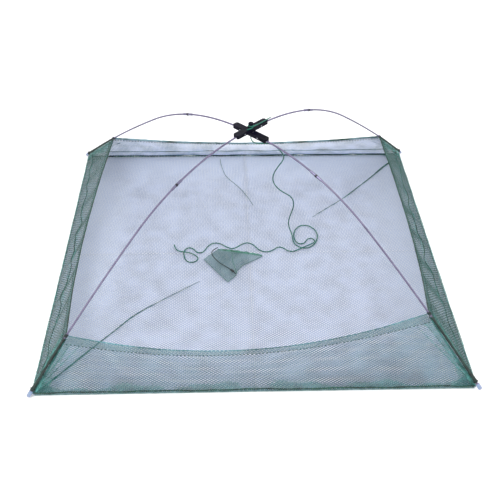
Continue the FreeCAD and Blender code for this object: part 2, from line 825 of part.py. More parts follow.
used = set()
for item in doc.Objects:
    if {"Invalid", "Error"} & set(item.State):
        raise RuntimeError(f"{item.Name} failed: {item.State}")
    if item.TypeId in ("Part::Fuse", "Part::Cut"):
        used.update({item.Base.Name, item.Tool.Name})

os.makedirs("parts", exist_ok=True)
for item in doc.Objects:
    solid_kind = item.TypeId == "PartDesign::Body" or item.TypeId.startswith("Part::")
    if not solid_kind or item.Name in used:
        continue
    if item.Shape.isNull() or not item.Shape.isValid() or not item.Shape.Solids:
        raise RuntimeError(f"{item.Label} has no valid shape")
    item.Shape.exportStep(f"parts/{item.Label}.step")
print("written")
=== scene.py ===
"""Folding crab trap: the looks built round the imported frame. Metres, +Z up, -Y is the front."""

import math

import bpy
import numpy as np
from mathutils import Matrix, Vector, noise


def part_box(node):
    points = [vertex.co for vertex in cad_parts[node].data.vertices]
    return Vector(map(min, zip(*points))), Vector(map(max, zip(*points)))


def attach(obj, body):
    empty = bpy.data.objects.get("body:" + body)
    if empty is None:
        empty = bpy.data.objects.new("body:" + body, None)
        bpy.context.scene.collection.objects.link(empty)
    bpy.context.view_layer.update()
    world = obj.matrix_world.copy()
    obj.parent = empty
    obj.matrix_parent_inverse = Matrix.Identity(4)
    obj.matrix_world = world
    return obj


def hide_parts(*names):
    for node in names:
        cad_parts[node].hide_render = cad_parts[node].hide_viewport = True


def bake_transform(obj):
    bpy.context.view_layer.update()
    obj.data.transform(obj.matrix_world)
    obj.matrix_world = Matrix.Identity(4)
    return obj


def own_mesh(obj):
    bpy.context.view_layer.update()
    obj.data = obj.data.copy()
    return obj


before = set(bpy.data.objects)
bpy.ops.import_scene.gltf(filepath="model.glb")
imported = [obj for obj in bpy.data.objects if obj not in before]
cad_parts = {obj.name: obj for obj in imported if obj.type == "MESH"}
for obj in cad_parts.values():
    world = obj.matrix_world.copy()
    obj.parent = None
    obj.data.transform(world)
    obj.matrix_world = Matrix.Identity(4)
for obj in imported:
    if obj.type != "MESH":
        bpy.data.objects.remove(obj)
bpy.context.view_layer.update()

MM = 0.001

# Each rib and the direction that it points in, in degrees round from +X.
RIBS = {"front_left": 225, "front_right": 315, "back_left": 135, "back_right": 45}


# ---- camera ----

CAMERA_PLACE = (-0.0512, -1.3559, 1.0881)
CAMERA_TURN = (2.217, 38.529, 0.724)
SENSOR_WIDTH, LENS = 36, 57.33


def make_camera():
    """The viewpoint: in front and above, with a long lens. It pans right, tilts down and rolls."""
    data = bpy.data.cameras.new("camera")
    data.sensor_width = SENSOR_WIDTH
    data.lens = LENS
    camera = bpy.data.objects.new("camera", data)
    pan, tilt, roll = (math.radians(angle) for angle in CAMERA_TURN)
    turn = Matrix.Rotation(-pan, 4, "Z") @ Matrix.Rotation(math.pi / 2 - tilt, 4, "X")
    turn = turn @ Matrix.Rotation(roll, 4, "Z")
    camera.matrix_world = Matrix.Translation(CAMERA_PLACE) @ turn
    bpy.context.scene.collection.objects.link(camera)
    bpy.context.scene.camera = camera


make_camera()


# ---- materials ----

class Nodes:
    """A material's node tree, with short ways to add and join nodes."""

    def __init__(self, name):
        self.material = bpy.data.materials.new(name)
        self.material.use_nodes = True
        self.tree = self.material.node_tree
        self.shader = self.tree.nodes["Principled BSDF"]
        self.coordinates = self.add("ShaderNodeTexCoord").outputs["Object"]

    def add(self, kind, **settings):
        """A new node. Settings are its own attributes, or its inputs with _ for each space."""
        node = self.tree.nodes.new(kind)
        for name, value in settings.items():
            if hasattr(node, name):
                setattr(node, name, value)
            else:
                node.inputs[name.replace("_", " ")].default_value = value
        return node

    def join(self, start, end):
        self.tree.links.new(start, end)

    def noise(self, scale, detail=3.0, stretch=(1, 1, 1)):
        """Noise in object space, its scale in features per metre."""
        mapping = self.add("ShaderNodeMapping", Scale=stretch)
        self.join(self.coordinates, mapping.inputs["Vector"])
        texture = self.add("ShaderNodeTexNoise", Scale=scale, Detail=detail)
        self.join(mapping.outputs["Vector"], texture.inputs["Vector"])
        return texture.outputs["Fac"]

    def ramp(self, factor, *stops):
        """A colour ramp from (place, colour) stops."""
        node = self.add("ShaderNodeValToRGB")
        elements = node.color_ramp.elements
        while len(elements) < len(stops):
            elements.new(0.5)
        for element, (place, colour) in zip(elements, stops):
            element.position = place
            element.color = (*colour, 1)
        self.join(factor, node.inputs["Fac"])
        return node.outputs["Color"]

    def spread(self, factor, low, high):
        """Noise, most of which is from 0.3 to 0.7, spread over a range of values."""
        node = self.add("ShaderNodeMapRange", From_Min=0.3, From_Max=0.7, To_Min=low, To_Max=high)
        self.join(factor, node.inputs["Value"])
        return node.outputs["Result"]

    def mix(self, factor, colour, other):
        """A colour that turns into another, constant one as the factor goes from 0 to 1."""
        node = self.add("ShaderNodeMixRGB", Color2=(*other, 1))
        self.join(factor, node.inputs["Fac"])
        self.join(colour, node.inputs["Color1"])
        return node.outputs["Color"]

    def outward(self, start, end):
        """From 0 to 1 over distances from the middle to the left, right or back hem."""
        place = self.add("ShaderNodeSeparateXYZ")
        self.join(self.coordinates, place.inputs["Vector"])
        aside = self.add("ShaderNodeMath", operation="ABSOLUTE")
        self.join(place.outputs["X"], aside.inputs[0])
        furthest = self.add("ShaderNodeMath", operation="MAXIMUM")
        self.join(aside.outputs[0], furthest.inputs[0])
        self.join(place.outputs["Y"], furthest.inputs[1])
        share = self.add("ShaderNodeMapRange", From_Min=start, From_Max=end)
        self.join(furthest.outputs[0], share.inputs["Value"])
        return share.outputs["Result"]

    def bump(self, factor, strength, depth):
        node = self.add("ShaderNodeBump", Strength=strength, Distance=depth)
        self.join(factor, node.inputs["Height"])
        self.join(node.outputs["Normal"], self.shader.inputs["Normal"])

    def set(self, **values):
        for name, value in values.items():
            self.shader.inputs[name.replace("_", " ")].default_value = value


def linear(*colour):
    """A colour given in 0-255 screen values as linear light."""
    return tuple(value / 12.92 if value <= 0.04045 else ((value + 0.055) / 1.055) ** 2.4
                 for value in (channel / 255 for channel in colour))


# How far from the middle a twine starts to fade to its paler colour, and has faded. The fade is
# painted light: paler twine near the hems that offsets the shade the walls cast on the floor there.
PALE_FROM, PALE_TO = 0.26, 0.385


def twine(name, dark, light, patch=25.0, sheen=0.15, painted_light_colour=None):
    """Twisted nylon twine: patches of shade along the net, and a fine fibre bump.

    With a painted light colour, the twine fades to it towards the left, right and back hems:
    painted light that offsets the shade that the walls cast there.
    """
    nodes = Nodes(name)
    colour = nodes.ramp(nodes.noise(patch, 4.0), (0.35, linear(*dark)), (0.65, linear(*light)))
    # Painted light: towards the hems the twine pales to offset the shade of the walls.
    if painted_light_colour:
        colour = nodes.mix(nodes.outward(PALE_FROM, PALE_TO), colour, linear(*painted_light_colour))
    nodes.join(colour, nodes.shader.inputs["Base Color"])
    fibre = nodes.noise(1800.0, 2.0)
    nodes.join(nodes.spread(fibre, 0.45, 0.7), nodes.shader.inputs["Roughness"])
    nodes.bump(fibre, 0.35, 0.0003)
    nodes.set(Sheen_Weight=sheen, Sheen_Roughness=0.5)
    return nodes.material


def plastic(name, dark, light, rough=(0.3, 0.5), coat=0.0, shine=0.5, milky=0.0):
    """Moulded plastic with a fine grain and faint scuffs."""
    nodes = Nodes(name)
    colour = nodes.ramp(nodes.noise(60.0, 5.0), (0.3, linear(*dark)), (0.75, linear(*light)))
    nodes.join(colour, nodes.shader.inputs["Base Color"])
    nodes.join(nodes.spread(nodes.noise(140.0, 4.0), *rough), nodes.shader.inputs["Roughness"])
    nodes.bump(nodes.noise(900.0), 0.25, 0.0002)
    nodes.set(Coat_Weight=coat, Coat_Roughness=0.25, Specular_IOR_Level=shine,
              Subsurface_Weight=milky)
    return nodes.material


def metal(name, colour):
    """Drawn or turned metal with fine streaks."""
    nodes = Nodes(name)
    streaks = nodes.noise(700.0, stretch=(1, 1, 12))
    colour = linear(*colour)
    shade = tuple(channel * 0.75 for channel in colour)
    nodes.join(nodes.ramp(streaks, (0.3, shade), (0.7, colour)),
               nodes.shader.inputs["Base Color"])
    nodes.join(nodes.spread(streaks, 0.2, 0.4), nodes.shader.inputs["Roughness"])
    nodes.bump(streaks, 0.15, 0.0001)
    nodes.set(Metallic=1.0)
    return nodes.material


MATERIALS = {
    # The floor twine's paler colour at its hems is painted light.
    "floor_net": twine("floor_twine", (130, 144, 172), (156, 170, 200), painted_light_colour=(186, 200, 226)),
    "wall_net": twine("wall_twine", (10, 78, 78), (72, 132, 140)),
    # Fine light and dark patches along the side twine: partly tone that varies at random, partly a
    # painted sparkle of highlights.
    "side_net": twine("side_twine", (0, 48, 40), (62, 106, 106), patch=240.0),
    "back_net": twine("back_twine", (124, 148, 176), (176, 192, 222)),
    "hem_net": twine("hem_twine", (30, 84, 80), (84, 124, 124)),
    "hem_edge": twine("hem_edge", (70, 108, 104), (112, 144, 146), patch=80.0),
    "pocket_hem": twine("pocket_hem", (66, 94, 94), (104, 130, 132), patch=80.0),
    "pocket_roll": twine("pocket_roll", (16, 78, 60), (70, 124, 112), patch=120.0),
    "back_rim": twine("back_rim", (2, 54, 42), (116, 148, 160), patch=26.0),
    "sleeve": twine("rib_sleeve", (0, 14, 12), (12, 44, 38), patch=160.0, sheen=0.0),
    "seam": twine("seam_thread", (2, 34, 26), (14, 68, 54), patch=60.0, sheen=0.0),
    "crease": twine("crease_thread", (14, 68, 56), (40, 100, 88), patch=60.0, sheen=0.0),
    "gather": twine("gathered_net", (14, 78, 70), (76, 146, 142), patch=120.0),
    "pocket_net": twine("pocket_twine", (104, 132, 138), (146, 170, 180)),
    "rope": twine("pull_rope_braid", (0, 70, 56), (4, 102, 84), patch=200.0, sheen=0.0),
    "dark_cord": twine("drawcord_braid", (4, 18, 18), (18, 40, 38), patch=200.0, sheen=0.0),
    "hub": plastic("hub_plastic", (3, 3, 12), (15, 14, 32), shine=0.08),
    "knuckle": plastic("knuckle_plastic", (8, 8, 14), (20, 19, 30), shine=0.2),
    "rod": plastic("rod_fibreglass", (74, 67, 96), (106, 99, 128), rough=(0.3, 0.45), coat=0.2),
    "cap": plastic("cap_plastic", (106, 120, 150), (136, 150, 178), rough=(0.25, 0.4), coat=0.2,
                   milky=0.2),
    "lock": plastic("lock_plastic", (10, 12, 16), (26, 28, 34)),
    "ferrule": metal("ferrule_tube", (128, 124, 150)),
    "steel": metal("steel_fastener", (176, 178, 186)),
}


def paint(piece, material):
    """Put one material on every slot of a piece."""
    if not piece.data.materials:
        piece.data.materials.append(MATERIALS[material])
    for slot in piece.material_slots:
        slot.link = "OBJECT"
        slot.material = MATERIALS[material]


# ---- mesh helpers ----

def put_in_scene(name, mesh, material):
    piece = bpy.data.objects.new(name, mesh)
    bpy.context.scene.collection.objects.link(piece)
    mesh.materials.append(MATERIALS[material])
    return piece


def new_piece(name, vertices, faces, material):
    """A smooth-shaded piece from lists of vertices and faces."""
    mesh = bpy.data.meshes.new(name)
    mesh.from_pydata([tuple(v) for v in vertices], [], [tuple(f) for f in faces])
    mesh.update()
    mesh.polygons.foreach_set("use_smooth", [True] * len(mesh.polygons))
    return put_in_scene(name, mesh, material)


def unit(vectors):
    return vectors / np.linalg.norm(vectors, axis=-1, keepdims=True)


def sweep(path, radius_at, sides):
    """Vertices and faces of a closed tube. radius_at(step, turn) gives its radius on the path."""
    path = np.array(path, float)
    tangents = unit(np.gradient(path, axis=0))
    side = np.cross(tangents[0], (0.0, 0.31, 0.95))
    side /= np.linalg.norm(side)
    vertices = []
    for step, (point, tangent) in enumerate(zip(path, tangents)):
        side = side - tangent * (side @ tangent)
        side /= np.linalg.norm(side)
        other = np.cross(tangent, side)
        for number in range(sides):
            turn = 2 * math.pi * number / sides
            spoke = side * math.cos(turn) + other * math.sin(turn)
            vertices.append(point + spoke * radius_at(step, turn))
    faces = []
    for step in range(len(path) - 1):
        for number in range(sides):
            following = (number + 1) % sides
            low, high = step * sides, (step + 1) * sides
            faces.append((low + number, low + following, high + following, high + number))
    faces.append(tuple(reversed(range(sides))))
    faces.append(tuple(range((len(path) - 1) * sides, len(path) * sides)))
    return vertices, faces


def tube(name, path, radius_at, sides, material):
    return new_piece(name, *sweep(path, radius_at, sides), material)


def spline_points(route):
    """Points along the smooth NURBS line whose control points are the route."""
    curve = bpy.data.curves.new("route", "CURVE")
    curve.dimensions = "3D"
    spline = curve.splines.new("NURBS")
    spline.points.add(len(route) - 1)
    for point, place in zip(spline.points, route):
        point.co = (*place, 1)
    spline.order_u = 3
    spline.use_endpoint_u = True
    spline.resolution_u = 8
    holder = bpy.data.objects.new("route", curve)
    points = [vertex.co.copy() for vertex in holder.to_mesh().vertices]
    bpy.data.objects.remove(holder)
    bpy.data.curves.remove(curve)
    return points


def steps_of(points):
    """The distance from each point to the following one."""
    return np.linalg.norm(np.diff(points, axis=0), axis=1)


def evenly(points, step):
    """The same line with points a step apart."""
    points = np.array(points, float)
    lengths = np.concatenate([[0], np.cumsum(steps_of(points))])
    count = max(2, int(round(lengths[-1] / step)) + 1)
    spots = np.linspace(0, lengths[-1], count)
    return np.stack([np.interp(spots, lengths, points[:, axis]) for axis in range(3)], axis=1)


def smooth_line(route, step):
    """The smooth line along a flat route in millimetres, with points a step apart."""
    return evenly(spline_points([Vector((x, y, 0)) * MM for x, y in route]), step)


# ---- cords ----

ROPE_RADIUS = 1.2 * MM
DRAWCORD_RADIUS = 1.0 * MM
ROPE_STRANDS = 3

# How far along the rope its strands go for one whole turn, in radii.
ROPE_LAY = 9

# Routes in millimetres. The pull rope's points without a height lie on the floor net. The
# hitch's are from the top of the hub, with x along the upper bar.
ROPE_ROUTE = [
    (0, 0, 292.9), (0, 0, 285.6), (4.5, -2.6, 280.4), (12.5, -6, 279), (21.5, -8, 280),
    (31, -10.5, 282.2), (41, -13.5, 281.8), (51, -17, 276.2), (60, -18, 266.5), (66, -14, 254),
    (64, -8, 240), (57, -2, 225), (50, 4, 208), (46, 11, 189), (49, 17, 170), (59, 22, 153),
    (73, 25, 140), (86, 30, 129), (94, 36, 113), (96, 43, 94), (93, 49, 73), (89, 56, 53),
    (88, 62, 34), (91, 65, 18), (96, 61, 7), (98, 50), (98, 36), (103, 22), (114, 12), (129, 11),
    (142, 20), (151, 37), (155, 56), (152, 75), (142, 90), (128, 96), (115, 91), (106, 79),
    (102, 66), (101, 53), (102, 41), (106, 31), (114, 25.5), (123, 28.5), (127, 37), (132, 45),
    (141, 46), (147, 38.5), (145, 28, 5.5), (136, 18, 8), (121, 9, 8), (107, 3.5, 4.5), (95, -1),
    (84, 2), (77, 10), (70, 16), (61, 15), (54, 7), (44, 0), (32, -1), (21, 6), (14, 18), (6, 29),
    (-6, 33), (-17, 27), (-27, 16), (-38, 11), (-50, 18), (-61, 29), (-74, 34), (-86, 28),
    (-93, 17), (-97, 6), (-104, -1.5), (-113.5, -0.5), (-119, 7), (-124, 15), (-133, 17.5),
    (-140, 11), (-143, 1), (-142, -10), (-140, -21), (-135, -30.5), (-126, -34.5), (-116, -31),
    (-111, -22), (-114, -13), (-123, -8, 5), (-133, -6, 8), (-149, -3, 8), (-157, 5, 4.5),
    (-162, 16), (-165, 28),
]

HITCH_ROUTE = [
    (-15, -3.4, 1.4), (-8.5, -5.5, 1.4), (-2.5, -6.3, 1.4), (4.1, -4.1, 1.4), (5.8, 0, 1.5),
    (3.8, 4.5, 1.9), (-1.5, 5.6, 2.6), (-5.5, 2, 3.3), (-4.8, -3.3, 4), (-0.5, -6.2, 4.1),
    (6.5, -6.2, 3.5), (14, -5.2, 2.2), (22, -4.4, 1.4), (31, -4.6, 1.4), (41, -3.9, 1.4),
    (48.5, -3, 1.1), (55, -1.6, -0.3),
]

DRAWCORD = [
    (-69, 4), (-78, -3), (-83, -14), (-78, -29), (-65, -49), (-48, -64), (-38, -75), (-31, -85),
]
FLOOR_ROPE_HEIGHT = 2.5
DRAWCORD_HEIGHT = 12.4

# The cord lock's outline: places along the drawcord and radii. The push button is last.
LOCK_PROFILE = [
    (-5, 1.4), (-4.8, 2.1), (-3.9, 2.4), (-3.5, 2.1), (-2.6, 2.1), (-2.2, 2.4), (1.6, 2.4),
    (2, 2.1), (2.6, 2.4), (3, 2.1), (3.1, 1.4), (4.8, 1.4), (5, 1.1),
]


def rope_piece(name, route, radius, material):
    """A laid rope: a tube whose strands bulge and turn once every few diameters."""
    path = evenly(spline_points(route), radius * 0.8)
    twist = 2 * math.pi * steps_of(path).mean() / (radius * ROPE_LAY)

    def radius_at(number, turn):
        phase = ROPE_STRANDS * (turn + number * twist) / 2
        return radius * (0.84 + 0.16 * abs(math.cos(phase)))

    return tube(name, path, radius_at, 12, material), path


def lock_piece():
    """The cord lock: a ridged barrel with a push button, threaded on the drawcord."""
    low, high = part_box("cord_lock")
    start, end = (Vector((*place, 0)) for place in DRAWCORD[-3::2])
    along = (end - start).normalized()
    path = [(low + high) / 2 + along * place * MM for place, _ in LOCK_PROFILE]
    lock = tube("lock_barrel", path, lambda step, turn: LOCK_PROFILE[step][1] * MM, 24, "lock")
    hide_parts("cord_lock")
    return lock


def make_cords():
    """The pull rope, its hitch on the hub, and the pocket's drawcord with its lock."""
    route = [Vector((*place, FLOOR_ROPE_HEIGHT)[:3]) * MM for place in ROPE_ROUTE]
    rope, path = rope_piece("pull_rope_laid", route, ROPE_RADIUS, "rope")
    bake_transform(rope)
    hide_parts("pull_rope")

    bar_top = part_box("hub_upper_bar")[1].z
    to_bar = Matrix.Translation((0, 0, bar_top)) @ Matrix.Rotation(math.radians(45), 4, "Z")
    route = [to_bar @ (Vector(place) * MM) for place in HITCH_ROUTE]
    hitch, path = rope_piece("rope_hitch_laid", route, ROPE_RADIUS, "rope")
    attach(hitch, "hub_upper")
    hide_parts("rope_hitch")

    route = [Vector((x, y, DRAWCORD_HEIGHT)) * MM for x, y in DRAWCORD]
    cord, path = rope_piece("drawcord_laid", route, DRAWCORD_RADIUS, "dark_cord")
    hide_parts("pocket_drawcord")
    lock = lock_piece()
    return cord, lock


drawcord_pieces = make_cords()


# ---- net surfaces ----

HALF_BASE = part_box("base_hem_front")[1].x

# The foot of the walls: how high it is, and how far in from the edge of the base.
WALL_FOOT = 3.2 * MM
FOOT_INSET = 1.5 * MM

# How far the cloth of a wall ends from its ribs, how near to them it is drawn out to them,
# how far its rim leans out and its cloth hangs in, and its longest way up, with some to spare.
CORNER_GAP = 3.5 * MM
PULL_REACH = 45 * MM
RIM_BULGE = 23 * MM
BELLY = 3.0 * MM
WALL_REACH = 170 * MM

# The radius of the ribs' bow where they come down to the corners.
BOW_RADIUS = 2900 * MM

# The floor net's height off the ground, and that of its wrinkles.
FLOOR_HEIGHT, WRINKLE = 1.35 * MM, 0.35 * MM

# Each side of the net: the ribs at its two ends, the way it faces and how far its rim sags.
SIDES = {
    "front": ("front_left", "front_right", (0, -1, 0), 41 * MM),
    "right": ("front_right", "back_right", (1, 0, 0), 37 * MM),
    "back": ("back_right", "back_left", (0, 1, 0), 30 * MM),
    "left": ("back_left", "front_left", (-1, 0, 0), 33 * MM),
}


def rib_direction(rib):
    azimuth = math.radians(RIBS[rib])
    return Vector((math.cos(azimuth), math.sin(azimuth), 0))


def rim_corner(rib):
    low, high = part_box(f"rim_tie_{rib}")
    return (low + high) / 2


def base_corner(rib):
    corner = rib_direction(rib) * ((HALF_BASE - FOOT_INSET) * math.sqrt(2))
    corner.z = WALL_FOOT
    return corner


def rib_line(rib):
    """The rib's centre line from the rim to its cap, on the arc that it bows along."""
    low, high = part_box(f"rib_cap_{rib}")
    start, end = np.array(rim_corner(rib)), np.array((low + high) / 2)
    chord = np.linalg.norm(end - start)
    along = (end - start) / chord
    outward = np.array(rib_direction(rib))
    above = unit(np.array((0, 0, 1)) - along * along[2])
    above = above if above @ outward > 0 else -above
    share = np.linspace(0, 1, 60)[:, None]
    bulge = chord ** 2 / (2 * BOW_RADIUS)
    return start + (end - start) * share + above * bulge * share * (1 - share)


class Wall:
    """One side of the net, as a surface over flat cloth.

    Flat cloth is measured from the middle of the foot: a along it, b up it. place(a, b) hangs
    it between the two ribs, with the rim's sag and bulge and the slack of real netting.
    """

    def __init__(self, side):
        start, end, outward, self.sag = SIDES[side]
        self.ribs = (start, end)
        self.feet = [np.array(base_corner(rib)) for rib in self.ribs]
        self.rims = [np.array(rim_corner(rib)) for rib in self.ribs]
        self.outward = np.array(outward)
        self.along = unit(self.feet[1] - self.feet[0])
        self.foot_width = np.linalg.norm(self.feet[1] - self.feet[0])
        self.rim_width = np.linalg.norm(self.rims[1] - self.rims[0])
        self.seed = 3.0 + len(side) + RIBS[start] / 40
        self.wave = (0.7 if side == "back" else 2.2) * MM
        self.rods = [rib_line(rib) for rib in self.ribs]

    def edges(self, share):
        """The foot and the rim at shares of the way along."""
        share = np.asarray(share, float)[..., None]
        belly = 4 * share * (1 - share)
        foot = self.feet[0] + (self.feet[1] - self.feet[0]) * share
        rim = self.rims[0] + (self.rims[1] - self.rims[0]) * share
        rim = rim + self.outward * RIM_BULGE * belly - np.array((0, 0, 1)) * self.sag * belly
        return foot, rim

    def width(self, rise):
        """The cloth's width at a share of the way up."""
        return self.foot_width + (self.rim_width - self.foot_width) * rise

    def shares(self, a, b):
        """The share along and the share up of a place on flat cloth."""
        share = 0.5 + a / self.foot_width
        rise = np.zeros_like(share)
        for _ in range(3):
            foot, rim = self.edges(np.clip(share, 0, 1))
            rise = b / np.linalg.norm(rim - foot, axis=-1)
            share = 0.5 + a / self.width(rise)
        return share, rise

    def height(self, share):
        foot, rim = self.edges(share)
        return np.linalg.norm(rim - foot, axis=-1)

    def slack(self, share, rise):
        """How far the cloth stands off its ruled surface: folds from the corners, a soft belly."""
        held = np.clip(4 * share * (1 - share), 0, 1) * np.clip(4 * rise * (1 - rise), 0, 1)
        waves = np.sin(share * 21 + self.seed) * 0.5 + np.sin(share * 47 + rise * 3 + self.seed)
        return held * (self.wave * waves - BELLY)

    def place(self, a, b):
        share, rise = self.shares(a, b)
        foot, rim = self.edges(np.clip(share, 0, 1))
        up = unit(rim - foot)
        normal = unit(np.cross(np.broadcast_to(self.along, up.shape), up))
        point = foot + (rim - foot) * rise[..., None] + self.pull(share, rise)
        return point + normal * self.slack(share, rise)[..., None], normal

    def pull(self, share, rise):
        """How far the cloth near each end is drawn out to the rib that it is sewn to."""
        moved = np.zeros((*np.shape(share), 3))
        for end in (0, 1):
            foot, rim, rod = self.feet[end], self.rims[end], self.rods[end]
            height = foot[2] + (rim[2] - foot[2]) * rise
            order = np.argsort(rod[:, 2])
            on_rod = np.stack([np.interp(height, rod[order, 2], rod[order, axis])
                               for axis in range(3)], axis=-1)
            on_edge = foot + (rim - foot) * rise[..., None]
            near = np.clip(1 - np.abs(share - end) * self.foot_width / PULL_REACH, 0, 1)
            moved += (on_rod - on_edge) * (near * np.clip(rise / 0.15, 0, 1))[..., None]
        return moved


WALLS = {side: Wall(side) for side in SIDES}


def level(a, b, height):
    """Places over (a, b) at a height, and the normals of cloth that lies nearly flat there."""
    places = np.stack([a, b, height], axis=-1)
    return places, np.broadcast_to((0.0, 0.0, 1.0), places.shape)


def floor_place(a, b):
    """The floor net lying on the ground, with shallow wrinkles."""
    waves = np.sin(a * 31 + 2.1 * np.sin(b * 13)) * np.sin(b * 27 + 1.3 * np.sin(a * 17))
    return level(a, b, FLOOR_HEIGHT + WRINKLE * waves)


# ---- netting ----

# How finely a strand is tried for cloth, and its thickness between crossings.
SAMPLE = 0.5 * MM
BETWEEN_CROSSINGS = 0.8


def lattice(inside, low, high, cell, step=None, shift=0.0):
    """The two families of strands of a diamond net over flat cloth.

    inside(a, b) says where there is cloth, and cell is a mesh's size along a and b. Each
    strand is an array of places (a, b) and thicknesses. Places are a step apart. With no
    step there is one at each crossing, where knotless netting is thick, and one between
    crossings, where it is thin.
    """
    families = ([], [])
    spacing, rise = cell
    reach = high[1] - low[1]
    samples = np.arange(0, reach + SAMPLE, SAMPLE)
    for family, lean in zip(families, (spacing / rise, -spacing / rise)):
        first = low[0] - max(0, lean) * reach
        last = high[0] + max(0, -lean) * reach
        for number in range(math.ceil(first / spacing), math.floor(last / spacing) + 1):
            start_a = number * spacing + shift
            there = inside(start_a + lean * samples, low[1] + samples)
            changes = np.flatnonzero(np.diff(np.concatenate([[0], there.astype(int), [0]])))
            for start, stop in changes.reshape(-1, 2):
                begin, end = samples[start], samples[stop - 1]
                if end - begin < 3 * SAMPLE:
                    continue
                if step:
                    count = max(2, math.ceil((end - begin) * math.hypot(1, lean) / step) + 1)
                    spots = np.linspace(begin, end, count)
                    thickness = np.ones(count)
                else:
                    quarter = rise / 4
                    steps = np.arange(math.ceil(begin / quarter), math.floor(end / quarter) + 1)
                    if len(steps) < 2:
                        continue
                    spots = steps * quarter
                    thickness = np.where(steps % 2 == 0, 1.0, BETWEEN_CROSSINGS)
                family.append(np.stack([start_a + lean * spots, low[1] + spots, thickness],
                                       axis=1))
    return families


def strands(lines, place, twine_size, lift):
    """Vertices and faces of strands along lines of flat cloth, hung by place.

    twine_size is the width along the cloth and the thickness through it.
    """
    width, depth = twine_size
    vertices, faces, base = [], [], 0
    for line in lines:
        points, normals = place(line[:, 0], line[:, 1])
        tangents = unit(np.gradient(points, axis=0))
        size = line[:, 2:3] / 2
        sides = unit(np.cross(tangents, normals)) * size * width
        centre = points + normals * lift
        proud = normals * size * depth
        ring = [centre + sides, centre + proud, centre - sides, centre - proud]
        vertices.append(np.stack(ring, axis=1).reshape(-1, 3))
        count = len(line)
        corner = base + 4 * np.arange(count - 1)[:, None]
        for number in range(4):
            following = (number + 1) % 4
            faces.append(np.concatenate([corner + number, corner + following,
                                         corner + 4 + following, corner + 4 + number], axis=1))
        end = base + 4 * (count - 1)
        faces.append(np.array([[base + 3, base + 2, base + 1, base],
                               [end, end + 1, end + 2, end + 3]]))
        base += 4 * count
    return np.concatenate(vertices), np.concatenate(faces)


def net_piece(name, families, place, twine_size, material, lift=0.0):
    """A net of two families of strands that cross one over the other."""
    parts = [strands(lines, place, twine_size, lift + sign * twine_size[1] * 0.25)
             for lines, sign in zip(families, (1, -1)) if lines]
    vertices = np.concatenate([part[0] for part in parts])
    shifts = np.cumsum([0] + [len(part[0]) for part in parts[:-1]])
    faces = np.concatenate([part[1] + shift for part, shift in zip(parts, shifts)])
    mesh = bpy.data.meshes.new(name)
    mesh.vertices.add(len(vertices))
    mesh.vertices.foreach_set("co", vertices.astype(np.float32).ravel())
    mesh.loops.add(faces.size)
    mesh.loops.foreach_set("vertex_index", faces.astype(np.int32).ravel())
    mesh.polygons.add(len(faces))
    mesh.polygons.foreach_set("loop_start", np.arange(0, faces.size, 4, dtype=np.int32))
    mesh.polygons.foreach_set("loop_total", np.full(len(faces), 4, np.int32))
    mesh.polygons.foreach_set("use_smooth", np.ones(len(faces), bool))
    mesh.update(calc_edges=True)
    mesh.validate()
    return put_in_scene(name, mesh, material)


# A mesh's size along and up the cloth, then its twine's width along the cloth and depth
# through it. The bars of a mesh are 4.5 to 5 mm long; the front is stretched along its hems
# and the sides are gathered along theirs.
FLOOR_CELL, FLOOR_TWINE = (7.6 * MM, 4.9 * MM), (1.4 * MM, 0.68 * MM)
SIDE_CELL, SIDE_TWINE = (6.4 * MM, 7.4 * MM), (1.95 * MM, 0.76 * MM)
NETTING = {
    "front": ((7.6 * MM, 4.75 * MM), (0.71 * MM, 1.57 * MM)),
    "right": (SIDE_CELL, SIDE_TWINE),
    "back": ((6.4 * MM, 6.2 * MM), (1.4 * MM, 1.35 * MM)),
    "left": (SIDE_CELL, SIDE_TWINE),
}
DOUBLED_TWINE = (0.75 * MM, 0.6 * MM)
NET_KINDS = {"front": "wall_net", "right": "side_net", "back": "back_net", "left": "side_net"}


def cut_area(inside, low, high, cell):
    """The area of flat cloth where inside(a, b) holds, counted in square cells."""
    a, b = np.meshgrid(np.arange(low[0], high[0], cell), np.arange(low[1], high[1], cell))
    return float(np.count_nonzero(inside(a, b))) * cell ** 2


def fold_to_rib(piece, rib):
    """A part of a wall rides its rib, with a mesh of its own."""
    foot, rim = base_corner(rib), rim_corner(rib)
    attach(piece, f"rib_{rib}")
    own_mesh(piece)


def fold_to_corner(piece, rib):
    """A part of the floor rides its corner, with a mesh of its own."""
    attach(piece, f"corner_{rib}")
    base_corner(rib)
    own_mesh(piece)


# ---- seams and gathers ----

GATHER_STEP = 1.2 * MM

# Thread: its radius, how far it stands off the cloth, and how many millimetres of the cloth
# a stitch and the gap after it take.
THREAD_RADIUS, THREAD_LIFT = 0.55 * MM, 1.5 * MM
STITCH, STITCH_GAP = 5, 3


def gathered_cord(name, path, radius, material, lobes, wander=0.22, sides=14):
    """Cloth gathered round a line: a tube whose pleats run along it and swell and shrink."""
    path = evenly(path, GATHER_STEP)
    widest = radius if callable(radius) else lambda share: radius
    last = len(path) - 1

    def radius_at(number, turn):
        place = path[number]
        swell = noise.noise(Vector(place) * 160)
        pleat = math.cos(lobes * turn + 2.5 * noise.noise(Vector(place) * 60) + number * 0.05)
        rough = noise.noise(Vector(place) * 420 + Vector((turn, 0, 0)))
        size = 1 + wander * (0.6 * pleat + 0.8 * swell + 0.5 * rough)
        return widest(number / last) * size

    return tube(name, path, radius_at, sides, material)


